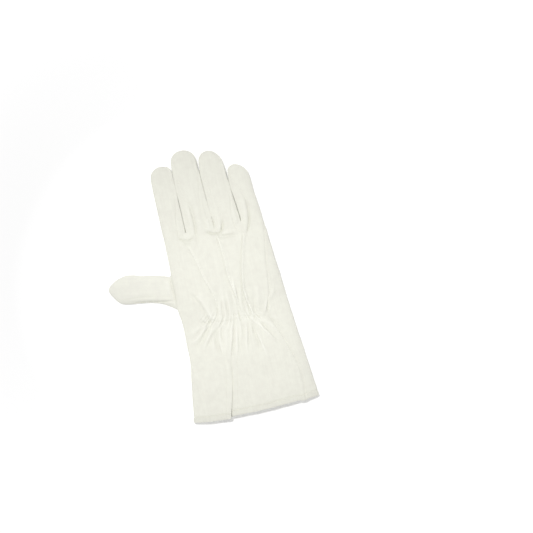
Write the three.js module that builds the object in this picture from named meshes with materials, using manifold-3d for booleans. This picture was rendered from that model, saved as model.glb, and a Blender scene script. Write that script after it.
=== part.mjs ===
// A white cotton dress glove for the right hand, lying palm down as it was laid out.
// The cloth is one folded hand piece with a thumb and three fourchettes sewn into it,
// gathered across the back of the wrist, and a slit cuff with a turned-up hem.
//
// Units are millimetres and +Z is up. The tables below are in the hand's own frame:
// +Y runs along the middle finger, +X towards the little finger, and 0,0 is just above
// the wrist. The finished group is moved so that its origin is the middle of the
// glove's footprint, on the surface that it lies on.

import * as THREE from "three";
import { mergeVertices } from "three/addons/utils/BufferGeometryUtils.js";
import Module from "manifold-3d";

const wasm = await Module();
wasm.setup();

// Driving dimensions
const CLOTH = 1.2; // one layer of brushed cotton jersey
const SEAM_GAP = 0.3; // between two pieces that are sewn together
const HEM_DEPTH = 6; // the turned-up hem
const HEM_EXTRA = 0.5; // how far the doubled hem stands proud on each side
const HALFWAY = 5; // between the palm's wall and the back's
const TALL = 40; // more than the height of anything here

// The hand and cuff as sections across the glove, from past the hem to the knuckles.
const HAND_SECTIONS = [
  { y: -130, left: -69.0, right: 68.2, height: 13.0 },
  { y: -112, left: -65.7, right: 67.0, height: 13.0 },
  { y: -98, left: -63.0, right: 65.7, height: 13.0 },
  { y: -80, left: -60.0, right: 64.0, height: 12.8 },
  { y: -65, left: -57.4, right: 62.3, height: 12.6 },
  { y: -50, left: -55.8, right: 60.6, height: 12.0 },
  { y: -36, left: -55.5, right: 59.2, height: 10.8 },
  { y: -22, left: -55.4, right: 57.8, height: 10.0 },
  { y: -10, left: -56.0, right: 57.0, height: 11.0 },
  { y: 5, left: -57.0, right: 56.0, height: 13.0 },
  { y: 20, left: -57.2, right: 55.0, height: 14.0 },
  { y: 36, left: -57.0, right: 53.6, height: 13.6 },
  { y: 50, left: -56.6, right: 52.6, height: 12.6 },
  { y: 64, left: -56.5, right: 51.5, height: 11.2 },
  { y: 76, left: -56.3, right: 50.4, height: 9.6 },
];
const KNUCKLE_END = [
  { y: 80, left: -55.0, right: 49.4, height: 8.2 },
  { y: 82.5, left: -52.0, right: 47.0, height: 5.6 },
];
const HAND_STATIONS = [
  { from: -130, to: -60, step: 14 },
  { from: -54, to: 12, step: 6 },
  { from: 22, to: 76, step: 9 },
];

// The fingers as sections across, from inside the knuckles to the tip.
const FINGERS = {
  index: [
    { y: 52, left: -55.6, right: -34.0 },
    { y: 84, left: -56.3, right: -32.7 },
    { y: 110, left: -56.3, right: -32.7 },
    { y: 134, left: -56.1, right: -32.8 },
    { y: 143, left: -55.3, right: -33.0 },
    { y: 148, left: -53.4, right: -34.6 },
    { y: 151, left: -50.4, right: -38.6 },
    { y: 152.3, left: -46.6, right: -43.4 },
  ],
  middle: [
    { y: 52, left: -30.0, right: -2.0 },
    { y: 80, left: -31.4, right: -1.2 },
    { y: 92, left: -31.5, right: -2.8 },
    { y: 120, left: -31.7, right: -4.4 },
    { y: 145, left: -31.8, right: -5.5 },
    { y: 153, left: -31.0, right: -6.0 },
    { y: 159, left: -29.0, right: -8.2 },
    { y: 162.5, left: -25.4, right: -12.2 },
    { y: 164.3, left: -21.0, right: -17.0 },
  ],
  ring: [
    { y: 52, left: -2.4, right: 25.0 },
    { y: 80, left: -1.6, right: 26.2 },
    { y: 92, left: -1.9, right: 25.2 },
    { y: 106, left: -2.7, right: 23.4 },
    { y: 122, left: -3.4, right: 22.4 },
    { y: 138, left: -3.8, right: 22.2 },
    { y: 147, left: -2.8, right: 20.6 },
    { y: 153.5, left: -0.4, right: 16.6 },
    { y: 157.2, left: 3.0, right: 11.6 },
    { y: 158.5, left: 5.6, right: 8.6 },
  ],
  little: [
    { y: 52, left: 29.0, right: 49.8 },
    { y: 78, left: 28.0, right: 50.1 },
    { y: 92, left: 27.2, right: 48.7 },
    { y: 108, left: 25.0, right: 47.0 },
    { y: 120, left: 23.8, right: 45.8 },
    { y: 128, left: 23.9, right: 44.4 },
    { y: 133.5, left: 25.0, right: 40.8 },
    { y: 137.4, left: 28.0, right: 36.0 },
    { y: 138.6, left: 30.6, right: 33.0 },
  ],
};
const FINGER_HEIGHT = 9.0;
const FINGER_FLOOR = 0.35; // how far the fingers lie clear of the surface
const FINGER_THINNING = 0.7; // the power of a finger's width that its height follows
const FINGER_TIP_FLOOR = 0.3; // the share of that thinning that is taken off underneath

// The thumb in a frame of its own: y runs from the edge of the palm to the tip, and
// the lower edge flares into the web at its base.
const THUMB_PLACE = { x: -57, y: 26, angle: 79 };
const THUMB_SECTIONS = [
  { y: -16, left: -22.0, right: 8.0, height: 7.4 },
  { y: -7, left: -25.0, right: 10.0, height: 7.4 },
  { y: -1, left: -22.2, right: 10.8, height: 7.6 },
  { y: 6, left: -19.0, right: 10.5, height: 8.0 },
  { y: 15, left: -16.4, right: 10.4, height: 8.4 },
  { y: 28, left: -15.5, right: 11.1, height: 8.6 },
  { y: 44, left: -16.4, right: 13.2, height: 8.6 },
  { y: 52, left: -16.4, right: 12.2, height: 8.4 },
  { y: 58, left: -14.0, right: 9.0, height: 7.4 },
  { y: 64, left: -8.4, right: 4.8, height: 5.6 },
  { y: 68.2, left: -2.6, right: 0.4, height: 3.0 },
];

// How each soft tube is rounded: the height of its side line as a share of the whole,
// the power of its crown, and the share of its width that lies flat underneath.
// Top, inner and under are the numbers of faces over the outside, over the hollow and
// underneath, and EVEN_SPACING is how far the upper ones are spread evenly rather than
// crowded towards the sides.
const HAND_FORM = { side: 0.42, crown: 3.4, flat: 0.88, top: 44, inner: 16, under: 8 };
const FINGER_FORM = { side: 0.46, crown: 2.5, flat: 0.5, top: 9, inner: 6, under: 6 };
const EVEN_SPACING = 0.4;
const LEAST_HALF_HEIGHT = 0.3;

// Gathers on the back of the wrist: where each fold crosses the gathered line, and its
// ends towards the hand and towards the cuff.
const GATHERED_Y = -22;
const GATHERS = [
  { wrist: -31, handX: -40, handY: 12, cuffX: -46, cuffY: -38, rise: 1.5 },
  { wrist: -26, handX: -31, handY: 6, cuffX: -37, cuffY: -44, rise: 1.2 },
  { wrist: -21.5, handX: -27, handY: 4, cuffX: -28, cuffY: -48, rise: 1.1 },
  { wrist: -17, handX: -20, handY: 8, cuffX: -20, cuffY: -50, rise: 1.3 },
  { wrist: -12.5, handX: -16, handY: 10, cuffX: -16, cuffY: -46, rise: 1.0 },
  { wrist: -8, handX: -9.5, handY: 12, cuffX: -11, cuffY: -44, rise: 1.0 },
  { wrist: -2.5, handX: -4, handY: 8, cuffX: -6, cuffY: -54, rise: 1.5 },
  { wrist: 2.5, handX: 4, handY: 14, cuffX: -1, cuffY: -48, rise: 1.3 },
  { wrist: 7.5, handX: 8, handY: 12, cuffX: 5, cuffY: -48, rise: 1.3 },
  { wrist: 12.5, handX: 12, handY: 4, cuffX: 11, cuffY: -44, rise: 1.0 },
  { wrist: 17, handX: 15, handY: 6, cuffX: 21, cuffY: -54, rise: 1.5 },
  { wrist: 22, handX: 22, handY: 6, cuffX: 33, cuffY: -50, rise: 1.3 },
  { wrist: 27, handX: 29, handY: 2, cuffX: 42, cuffY: -46, rise: 1.2 },
  { wrist: 32, handX: 39, handY: 4, cuffX: 50, cuffY: -40, rise: 1.0 },
];
const GATHER_WIDTH = { wrist: 2.3, end: 4.2 };
const GATHER_FADE = 0.6; // the power at which a fold sinks towards its ends

// Raised lines on the back: the three points, which are narrow sewn tucks, and the
// side seam, which the gathers draw inwards.
const TUCK = { width: 1.8, rise: 0.8, sunk: 0.7, steps: 11 };
const SIDE_SEAM = { width: 1.6, rise: 0.45, sunk: 0.7, steps: 20 };
const POINTS = [
  { y: 66, index: -28.5, middle: -1.0, ring: 26.0 },
  { y: 52, index: -26.0, middle: 0.0, ring: 22.6 },
  { y: 30, index: -23.6, middle: 1.0, ring: 17.2 },
  { y: 12, index: -18.8, middle: 2.6, ring: 14.0 },
  { y: -6, index: -14.8, middle: 3.8, ring: 13.8 },
  { y: -16, index: -13.0, middle: 4.0, ring: 16.4 },
];
const SIDE_SEAM_LINE = [
  { y: 70, x: 48.0 },
  { y: 40, x: 44.0 },
  { y: 12, x: 41.0 },
  { y: -5, x: 38.5 },
  { y: -20, x: 34.5 },
  { y: -34, x: 38.0 },
  { y: -48, x: 45.0 },
  { y: -68, x: 51.0 },
  { y: -86, x: 54.0 },
  { y: -110, x: 54.4 },
];

// Where the seams of each fourchette lie, from its foot at the fork to its tip.
const FOURCHETTE_STEPS = 8;
const FOURCHETTES = {
  fourchette_index_middle: [
    { y: 69.0, left: -33.6, right: -30.4 },
    { y: 72.5, left: -38.4, right: -26.0 },
    { y: 78, left: -40.4, right: -21.8 },
    { y: 92, left: -39.2, right: -21.4 },
    { y: 108, left: -36.8, right: -24.4 },
    { y: 124, left: -34.9, right: -27.8 },
    { y: 139, left: -33.4, right: -30.8 },
  ],
  fourchette_middle_ring: [
    { y: 71.6, left: -1.0, right: 3.2 },
    { y: 74.6, left: -8.4, right: 5.6 },
    { y: 82, left: -9.6, right: 7.4 },
    { y: 96, left: -10.0, right: 6.8 },
    { y: 112, left: -9.6, right: 3.6 },
    { y: 128, left: -8.0, right: -0.2 },
    { y: 142, left: -6.2, right: -2.8 },
  ],
  fourchette_ring_little: [
    { y: 66.6, left: 27.6, right: 31.0 },
    { y: 71, left: 21.6, right: 33.8 },
    { y: 78, left: 19.0, right: 36.0 },
    { y: 90, left: 19.2, right: 37.8 },
    { y: 104, left: 20.4, right: 36.0 },
    { y: 118, left: 21.0, right: 31.6 },
    { y: 130, left: 21.6, right: 25.4 },
  ],
};

// The cuff: its cut edge on the palm and on the back, and the slit in the back.
const CUFF_EDGE = [
  { x: -80, palm: -114.6, back: -114.6 },
  { x: -66, palm: -116.8, back: -116.8 },
  { x: -50, palm: -119.2, back: -119.2 },
  { x: -27.6, palm: -120.0, back: -122.0 },
  { x: -24.4, palm: -120.1, back: -119.3 },
  { x: 0, palm: -120.0, back: -120.0 },
  { x: 30, palm: -119.2, back: -119.2 },
  { x: 66, palm: -117.4, back: -117.4 },
  { x: 80, palm: -116.6, back: -116.6 },
];
const SLIT = [
  { y: -49, left: -12.1, right: -11.4 },
  { y: -96, left: -22.0, right: -21.0 },
  { y: -130, left: -29.0, right: -24.0 },
];
const FLAP_LIFT = { rise: 1.0, width: 14, from: 52, to: 84 }; // the thumb side's flap

// The thumb's seam: down the fold at the side of the hand, then a rounded tongue of the
// thumb piece let into the palm.
const THUMB_SEAM = [
  { x: -54.6, y: 44 },
  { x: -54.2, y: 30 },
  { x: -54.2, y: 10 },
  { x: -54.8, y: -9 },
];
const THUMB_TONGUE = [
  { x: -50, y: 37 },
  { x: -40, y: 31 },
  { x: -33, y: 20 },
  { x: -31.5, y: 8 },
  { x: -36, y: -6 },
  { x: -46, y: -16 },
  { x: -54, y: -14 },
];
const TONGUE_HEIGHT = 3.2; // above the palm's wall, and clear of the back's
const TONGUE_STEPS = 20;

// Closed solids from rings, outlines and one another

function solidOf(geometry) {
  geometry.deleteAttribute("normal");
  geometry.deleteAttribute("uv");
  const merged = mergeVertices(geometry, 1e-4);
  return new wasm.Manifold(
    new wasm.Mesh({
      numProp: 3,
      vertProperties: merged.attributes.position.array,
      triVerts: new Uint32Array(merged.index.array),
    }),
  );
}

// Skins a row of rings that have equal numbers of points, and closes both ends.
function loft(rings) {
  const size = rings[0].length;
  const points = rings.flat();
  const faces = [];
  for (let row = 0; row < rings.length - 1; row++) {
    for (let i = 0; i < size; i++) {
      const a = row * size + i;
      const b = row * size + ((i + 1) % size);
      faces.push(a, b, b + size, a, b + size, a + size);
    }
  }
  for (const [row, outward] of [[0, false], [rings.length - 1, true]]) {
    const centre = points.length;
    const sum = rings[row].reduce((s, p) => s.add(p), new THREE.Vector3());
    points.push(sum.divideScalar(size));
    for (let i = 0; i < size; i++) {
      const a = row * size + i;
      const b = row * size + ((i + 1) % size);
      faces.push(centre, outward ? a : b, outward ? b : a);
    }
  }
  const geometry = new THREE.BufferGeometry().setFromPoints(points);
  geometry.setIndex(faces);
  return geometry;
}

// An upright prism on a plan outline.
function prism(outline, low = -TALL, high = TALL) {
  const shape = new THREE.Shape(outline.map(({ x, y }) => new THREE.Vector2(x, y)));
  const geometry = new THREE.ExtrudeGeometry(shape, {
    depth: high - low,
    bevelEnabled: false,
  });
  return solidOf(geometry.translate(0, 0, low));
}

// A smooth plan line through a few points.
function smoothLine(points, steps) {
  const curve = new THREE.SplineCurve(points.map(({ x, y }) => new THREE.Vector2(x, y)));
  return curve.getPoints(steps);
}

// The outline between the left and right sides of a table, up one and down the other.
function outlineOf(table, steps) {
  const left = table.map((row) => ({ x: row.left, y: row.y }));
  const right = table.map((row) => ({ x: row.right, y: row.y })).reverse();
  return [...smoothLine(left, steps), ...smoothLine(right, steps)];
}

// The main body of a cut solid, without any specks and pockets that the cuts left.
function mainBody(solid) {
  return solid.decompose().reduce((a, b) => (b.volume() > a.volume() ? b : a));
}

// Moves a closed outline inwards by a distance.
function shrink(outline, distance) {
  const inwards = distance * Math.sign(THREE.ShapeUtils.area(outline));
  return outline.map((point, i) => {
    const before = outline[(i + outline.length - 1) % outline.length];
    const after = outline[(i + 1) % outline.length];
    const along = new THREE.Vector2(after.x - before.x, after.y - before.y);
    along.normalize().multiplyScalar(inwards);
    return { x: point.x - along.y, y: point.y + along.x };
  });
}

// The form of the soft tubes

// Sections of a table at given places along it, on a smooth curve through its rows.
function sectionsAt(table, places) {
  const rows = table.flatMap((s) => [s.left, s.right, s.height]);
  const curve = new THREE.CubicInterpolant(table.map((s) => s.y), rows, 3);
  return places.map((y) => {
    const [left, right, height] = curve.evaluate(y);
    return { y, left, right, height };
  });
}

// Takes a thickness off the ends and sides of a row of sections.
function insetSections(sections, inset) {
  return sections.map((s, i) => {
    const before = sections[Math.max(i - 1, 0)];
    const after = sections[Math.min(i + 1, sections.length - 1)];
    const narrowing = (before.right - before.left - after.right + after.left) / 2;
    const slope = narrowing / (after.y - before.y);
    const side = 1 / Math.hypot(1, slope);
    const isTip = i === sections.length - 1;
    const sideways = Math.min(inset * side, (s.right - s.left) / 2 - 0.5);
    return {
      y: s.y - (isTip ? inset : Math.max(0, inset * slope * side)),
      left: s.left + sideways,
      right: s.right - sideways,
      height: s.height,
    };
  });
}

function crownAt(share, power) {
  return Math.sqrt(Math.max(0, 1 - Math.abs(share) ** power));
}

// One ring of a soft flattened tube: over the top from left to right, back underneath.
function pillowRing(section, form, floor, inset, relief) {
  const half = (section.right - section.left) / 2;
  const centre = (section.right + section.left) / 2;
  const side = floor + form.side * section.height;
  const top = Math.max(floor + section.height - inset, side + LEAST_HALF_HEIGHT);
  const bottom = Math.min(floor + Math.max(inset, 0), side - LEAST_HALF_HEIGHT);
  const over = inset > 0 ? form.inner : form.top;
  const ring = [];
  for (let i = 0; i <= over; i++) {
    const even = -1 + (2 * i) / over;
    const share = THREE.MathUtils.lerp(Math.sin((even * Math.PI) / 2), even, EVEN_SPACING);
    const x = centre + half * share;
    const crown = crownAt(share, form.crown);
    ring.push([x, side + (top - side) * crown + crown * relief(x, section.y)]);
  }
  for (let i = 1; i < form.under; i++) {
    const share = Math.cos((Math.PI * i) / form.under);
    const past = Math.max(0, (Math.abs(share) - form.flat) / (1 - form.flat));
    ring.push([centre + half * share, side - (side - bottom) * crownAt(past, 2)]);
  }
  return ring.map(([x, z]) => new THREE.Vector3(x, section.y, z));
}

// The back's relief

const between = THREE.MathUtils.smoothstep;

// How high one fold stands at a point of the back.
function foldRise(fold, x, y) {
  const towardsHand = y > GATHERED_Y;
  const endX = towardsHand ? fold.handX : fold.cuffX;
  const endY = towardsHand ? fold.handY : fold.cuffY;
  const gone = (y - GATHERED_Y) / (endY - GATHERED_Y);
  if (gone >= 1) return 0;
  const width = THREE.MathUtils.lerp(GATHER_WIDTH.wrist, GATHER_WIDTH.end, gone);
  const off = Math.abs(x - THREE.MathUtils.lerp(fold.wrist, endX, gone)) / width;
  const across = off < 1 ? (1 + Math.cos(Math.PI * off)) / 2 : 0;
  return fold.rise * (1 - gone) ** GATHER_FADE * across;
}

// The thumb side's flap rises towards the slit.
function flapRise(x, y) {
  const [top, bottom] = [SLIT[0], SLIT[SLIT.length - 1]];
  const line = THREE.MathUtils.mapLinear(y, top.y, bottom.y, top.left, bottom.left);
  if (x > line) return 0;
  const near = 1 - between(line - x, 0, FLAP_LIFT.width);
  return FLAP_LIFT.rise * near * between(-y, FLAP_LIFT.from, FLAP_LIFT.to);
}

function gatherRise(x, y) {
  return Math.max(...GATHERS.map((fold) => foldRise(fold, x, y)));
}

const outsideRelief = (x, y) => flapRise(x, y) + gatherRise(x, y);
const NO_RELIEF = () => 0;

// Height of the outside of the back at a point.
function backHeight(x, y) {
  const section = sectionsAt(HAND_SECTIONS, [y])[0];
  const half = (section.right - section.left) / 2;
  const share = (x - (section.right + section.left) / 2) / half;
  const side = HAND_FORM.side * section.height;
  const crown = crownAt(share, HAND_FORM.crown);
  return side + (section.height - side) * crown + crown * outsideRelief(x, y);
}

// The soft tubes, each as an outside, or as a hollow inside it

function handTube(inset) {
  const places = HAND_STATIONS.flatMap(({ from, to, step }) =>
    Array.from({ length: Math.round((to - from) / step) + 1 }, (_, i) => from + i * step),
  );
  const sections = insetSections(
    [...sectionsAt(HAND_SECTIONS, places), ...KNUCKLE_END],
    inset,
  );
  const relief = inset > 0 ? flapRise : outsideRelief;
  return solidOf(loft(sections.map((s) => pillowRing(s, HAND_FORM, 0, inset, relief))));
}

function fingerTube(rows, inset) {
  const widest = Math.max(...rows.map((s) => s.right - s.left));
  const sections = insetSections(rows, inset).map((s, i) => {
    const width = rows[i].right - rows[i].left;
    return { ...s, height: FINGER_HEIGHT * (width / widest) ** FINGER_THINNING };
  });
  const rings = sections.map((s) => {
    const floor = FINGER_FLOOR + (FINGER_HEIGHT - s.height) * FINGER_TIP_FLOOR;
    return pillowRing(s, FINGER_FORM, floor, inset, NO_RELIEF);
  });
  return solidOf(loft(rings));
}

function thumbTube(inset) {
  const sections = insetSections(THUMB_SECTIONS, inset);
  const rings = sections.map((s) =>
    pillowRing(s, FINGER_FORM, FINGER_FLOOR, inset, NO_RELIEF),
  );
  const geometry = loft(rings);
  geometry.rotateZ(THREE.MathUtils.degToRad(THUMB_PLACE.angle));
  return solidOf(geometry.translate(THUMB_PLACE.x, THUMB_PLACE.y, 0));
}

function gloveTubes(inset) {
  const fingers = Object.values(FINGERS).map((rows) => fingerTube(rows, inset));
  return fingers.reduce((all, one) => all.add(one), handTube(inset).add(thumbTube(inset)));
}

// A low rounded ridge that follows a line on the back.
function ridge(points, { width, rise, sunk, steps }) {
  const line = smoothLine(points, steps);
  const rings = line.map((point, i) => {
    const before = line[Math.max(i - 1, 0)];
    const after = line[Math.min(i + 1, line.length - 1)];
    const across = new THREE.Vector2(after.y - before.y, before.x - after.x);
    across.normalize().multiplyScalar(width / 2);
    const tall = i === 0 || i === line.length - 1 ? rise / 5 : rise;
    const profile = [
      { side: -1, up: -sunk },
      { side: -0.6, up: 0.7 * tall },
      { side: 0, up: tall },
      { side: 0.6, up: 0.7 * tall },
      { side: 1, up: -sunk },
    ];
    return profile.map(({ side, up }) => {
      const { x, y } = point.clone().addScaledVector(across, side);
      return new THREE.Vector3(x, y, backHeight(x, y) + up);
    });
  });
  return solidOf(loft(rings));
}

// Cutting the cloth into its pieces

// Everything beyond the cuff's cut edge, moved up the glove by a distance.
function beyondEdge(up) {
  const across = (side) => [
    ...CUFF_EDGE.map((row) => ({ x: row.x, y: row[side] + up })),
    { x: 80, y: -150 },
    { x: -80, y: -150 },
  ];
  return prism(across("palm"), -TALL, HALFWAY).add(prism(across("back"), HALFWAY, TALL));
}

// The thumb piece's share of the glove, less a gap along its seam: all that lies
// beyond the side of the hand, and the tongue.
function thumbCut(gap) {
  const side = THUMB_SEAM.map(({ x, y }) => ({ x: x - gap, y }));
  const [first, last] = [side[0], side[side.length - 1]];
  const farSide = [
    { x: -140, y: last.y },
    { x: -140, y: 60 },
    { x: -60, y: 60 },
    { x: -58, y: first.y },
  ];
  const tongue = shrink(smoothLine([first, ...THUMB_TONGUE, last], TONGUE_STEPS), gap);
  const tonguePrism = prism(
    [...tongue, { x: -70, y: last.y }, { x: -70, y: first.y }],
    -TALL,
    TONGUE_HEIGHT - gap,
  );
  return prism([...side, ...farSide]).add(tonguePrism);
}

const tucks = ["index", "middle", "ring"].map((finger) =>
  ridge(POINTS.map((row) => ({ x: row[finger], y: row.y })), TUCK),
);
const outside = [...tucks, ridge(SIDE_SEAM_LINE, SIDE_SEAM)].reduce(
  (all, one) => all.add(one),
  gloveTubes(0),
);
const slit = prism(outlineOf(SLIT, 2), HALFWAY, TALL);
const wall = outside.subtract(gloveTubes(CLOTH)).subtract(slit);

const fourchettes = Object.entries(FOURCHETTES).map(([name, table]) => {
  const outline = outlineOf(table, FOURCHETTE_STEPS);
  return {
    name,
    hole: prism(outline),
    piece: wall.intersect(prism(shrink(outline, SEAM_GAP))),
  };
});

function makeThumb() {
  return mainBody(wall.intersect(thumbCut(SEAM_GAP)));
}

function makeHandPiece() {
  return mainBody(
    fourchettes
      .reduce((cloth, { hole }) => cloth.subtract(hole), wall)
      .subtract(thumbCut(0))
      .subtract(beyondEdge(HEM_DEPTH)),
  );
}

// The hem is the cloth turned up inside on itself, so it is thicker than one layer.
function makeHem() {
  return handTube(-HEM_EXTRA)
    .subtract(handTube(CLOTH + HEM_EXTRA))
    .intersect(beyondEdge(HEM_DEPTH - SEAM_GAP))
    .subtract(beyondEdge(0))
    .subtract(slit);
}

// Materials and the finished group

const cotton = new THREE.MeshStandardMaterial({ color: 0xf1f1e5, roughness: 0.95 });
const fourchetteCotton = new THREE.MeshStandardMaterial({ color: 0xf3f3ea, roughness: 0.95 });
const hemCotton = new THREE.MeshStandardMaterial({ color: 0xeeeee2, roughness: 0.95 });

function meshOf(name, solid, material) {
  const { vertProperties, triVerts } = solid.getMesh();
  const geometry = new THREE.BufferGeometry();
  geometry.setAttribute("position", new THREE.BufferAttribute(vertProperties, 3));
  geometry.setIndex(new THREE.BufferAttribute(triVerts, 1));
  geometry.computeVertexNormals();
  const mesh = new THREE.Mesh(geometry, material);
  mesh.name = name;
  return mesh;
}

const glove = new THREE.Group();
glove.add(meshOf("hand_piece", makeHandPiece(), cotton));
glove.add(meshOf("thumb", makeThumb(), cotton));
for (const { name, piece } of fourchettes) {
  glove.add(meshOf(name, piece, fourchetteCotton));
}
glove.add(meshOf("cuff_hem", makeHem(), hemCotton));

// The origin is the middle of the footprint, at the lowest point.
const box = new THREE.Box3().setFromObject(glove);
const centre = box.getCenter(new THREE.Vector3());
glove.position.set(-centre.x, -centre.y, -box.min.z);

export default glove;
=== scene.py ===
# A white cotton dress glove for the right hand, laid flat with its back up.

import math
from collections import namedtuple

import bmesh
import bpy
import numpy as np
from mathutils import Matrix, Vector, noise
from mathutils.bvhtree import BVHTree


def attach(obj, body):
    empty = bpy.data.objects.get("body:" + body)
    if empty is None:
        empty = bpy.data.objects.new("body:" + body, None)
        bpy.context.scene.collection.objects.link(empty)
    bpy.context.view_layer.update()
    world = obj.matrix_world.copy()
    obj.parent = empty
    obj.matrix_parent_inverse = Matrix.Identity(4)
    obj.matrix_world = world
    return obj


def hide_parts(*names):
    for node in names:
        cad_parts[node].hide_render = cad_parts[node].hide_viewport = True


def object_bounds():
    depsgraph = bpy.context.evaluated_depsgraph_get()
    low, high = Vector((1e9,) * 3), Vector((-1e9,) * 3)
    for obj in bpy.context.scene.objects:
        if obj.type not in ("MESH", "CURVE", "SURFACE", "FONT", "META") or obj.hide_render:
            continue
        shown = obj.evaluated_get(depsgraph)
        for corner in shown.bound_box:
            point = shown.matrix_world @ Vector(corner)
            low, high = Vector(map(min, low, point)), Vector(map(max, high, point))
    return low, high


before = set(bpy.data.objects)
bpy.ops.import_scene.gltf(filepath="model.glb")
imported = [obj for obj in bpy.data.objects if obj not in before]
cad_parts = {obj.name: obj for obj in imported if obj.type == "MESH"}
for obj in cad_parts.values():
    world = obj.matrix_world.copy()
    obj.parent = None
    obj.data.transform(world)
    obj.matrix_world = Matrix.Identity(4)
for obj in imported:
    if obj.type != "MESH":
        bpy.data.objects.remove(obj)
cad_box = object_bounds()


# The camera
#
# It hangs high over the table and looks straight down. The glove leans a little to the
# left and lies left of the picture's middle.

PICTURE_WIDTH = 0.5597  # metres of floor across the picture
PICTURE_MIDDLE = (0.0711, 0.0054)
CAMERA_HEIGHT = 2.6
CAMERA_REACH = 20.0
GLOVE_TURN = math.radians(12.5)


def add_object(name, data):
    thing = bpy.data.objects.new(name, data)
    bpy.context.scene.collection.objects.link(thing)
    return thing


camera_data = bpy.data.cameras.new("camera")
camera_data.lens = camera_data.sensor_width * CAMERA_HEIGHT / PICTURE_WIDTH
camera_data.clip_end = CAMERA_REACH
camera = add_object("camera", camera_data)
camera.location = (*PICTURE_MIDDLE, CAMERA_HEIGHT)
camera.rotation_euler = (0.0, 0.0, -GLOVE_TURN)
bpy.context.scene.camera = camera


# The folded hand piece
#
# One piece of cotton jersey is folded down the index finger's side to make the back,
# the palm, the faces of the four fingers and the cuff. Everything on the glove is given
# in millimetres from a zero just above the wrist, with y along the middle finger.

THUMB_TIP_X = -124.44
MIDDLE_TIP_Y = 164.3
ZERO = Vector((cad_box[0][0] * 1000 - THUMB_TIP_X, cad_box[1][1] * 1000 - MIDDLE_TIP_Y, 0))
CLOTH = 1.1  # thickness of one layer

# y, left edge, right edge, height, floor
HAND_SECTIONS = [
    (-134, -70.2, 68.6, 12.4, 0), (-118, -67, 67.4, 12.4, 0), (-108, -65.4, 66.8, 12.6, 0),
    (-97, -64, 65.7, 12.8, 0), (-85, -62, 64.6, 12.8, 0), (-72, -60, 63.2, 12.8, 0),
    (-62, -58.2, 62.4, 12.6, 0), (-50, -57, 61, 12, 0), (-38, -57, 59.9, 11, 0),
    (-26, -56.5, 58.8, 10.2, 0), (-15, -56.4, 57.8, 10.4, 0), (-6, -57.4, 57, 11.4, 0),
    (4, -58.6, 56.2, 12.8, 0), (14, -57.8, 55.4, 13.8, 0), (24, -57.4, 54.7, 14, 0),
    (34, -57.8, 53.6, 13.8, 0), (44, -57, 53, 13.2, 0), (56, -56.9, 52, 12, 0),
    (66, -56.9, 51.4, 10.8, 0), (70, -56.9, 51, 10, 0), (76, -54.6, 49.6, 8.4, 0.2),
    (79, -51, 47, 5.6, 0.8),
]
# The cross-section of a soft tube: points round it, the height of its side line as a
# share of the whole, the power of its crown, and how much of its width lies flat.
Form = namedtuple("Form", "around side crown flat")
HAND_FORM = Form(around=200, side=0.42, crown=4.0, flat=0.86)
ROW_STEP = 2.0
SAME_PLACE = 1e-4


def smooth_rows(rows, step):
    """The rows of a table on a smooth curve through them, about a step apart."""
    rows = np.array(rows, float)
    spans = np.linalg.norm(np.diff(rows, axis=0), axis=1)
    places = np.append(0.0, np.cumsum(spans))
    slopes = np.gradient(rows, places, axis=0)
    fine = np.linspace(0.0, places[-1], max(2, round(places[-1] / step) + 1))
    k = np.clip(np.searchsorted(places, fine, side="right") - 1, 0, len(rows) - 2)
    span = spans[k][:, None]
    u = (fine - places[k])[:, None] / span
    return (
        rows[k] * (1 + 2 * u) * (1 - u) ** 2
        + slopes[k] * span * u * (1 - u) ** 2
        + rows[k + 1] * u**2 * (3 - 2 * u)
        + slopes[k + 1] * span * u**2 * (u - 1)
    )


def lay_grid(bm, points):
    """A grid of faces on an array of points with rows and columns."""
    rows, columns = points.shape[:2]
    grid = bmesh.ops.create_grid(bm, x_segments=columns - 1, y_segments=rows - 1, size=0.5)
    for vert in grid["verts"]:
        column = round((vert.co.x + 0.5) * (columns - 1))
        row = round((vert.co.y + 0.5) * (rows - 1))
        vert.co = points[row, column]
    return grid["verts"]


def add_tube(bm, sections, form, place=(0.0, 0.0), angle=0.0, shift=None):
    """A closed soft tube through sections of y, left, right, height and floor."""
    rows = smooth_rows(sections, ROW_STEP)
    if shift is not None:
        rows[:, 1:3] += shift(rows[:, 0])[:, None]
    y, left, right, height, floor = rows.T[:, :, None]
    turn = np.linspace(0.0, 2 * np.pi, form.around + 1)[None, :]
    share = -np.cos(turn)
    side = floor + form.side * height
    over = (floor + height - side) * np.sqrt(1 - np.abs(share) ** form.crown)
    past = np.clip((np.abs(share) - form.flat) / (1 - form.flat), 0, 1)
    below = (side - floor) * np.sqrt(1 - past**2)
    x = (right + left) / 2 + share * (right - left) / 2
    z = side + np.where(turn <= np.pi, over, -below)
    y = y + 0 * x
    cos, sin = math.cos(angle), math.sin(angle)
    points = np.stack([x * cos - y * sin + place[0], x * sin + y * cos + place[1], z], 2)
    verts = lay_grid(bm, points)
    bmesh.ops.remove_doubles(bm, verts=verts, dist=SAME_PLACE)
    rim = [edge for edge in bm.edges if edge.is_boundary]
    bmesh.ops.holes_fill(bm, edges=rim)


tubes = bmesh.new()
add_tube(tubes, HAND_SECTIONS, HAND_FORM)


# The four fingers
#
# The back and the palm of each finger are one with the hand piece and meet in a round
# tip. They are made parted, so that the skin laid round them all keeps them apart, and
# are closed up afterwards.

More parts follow.
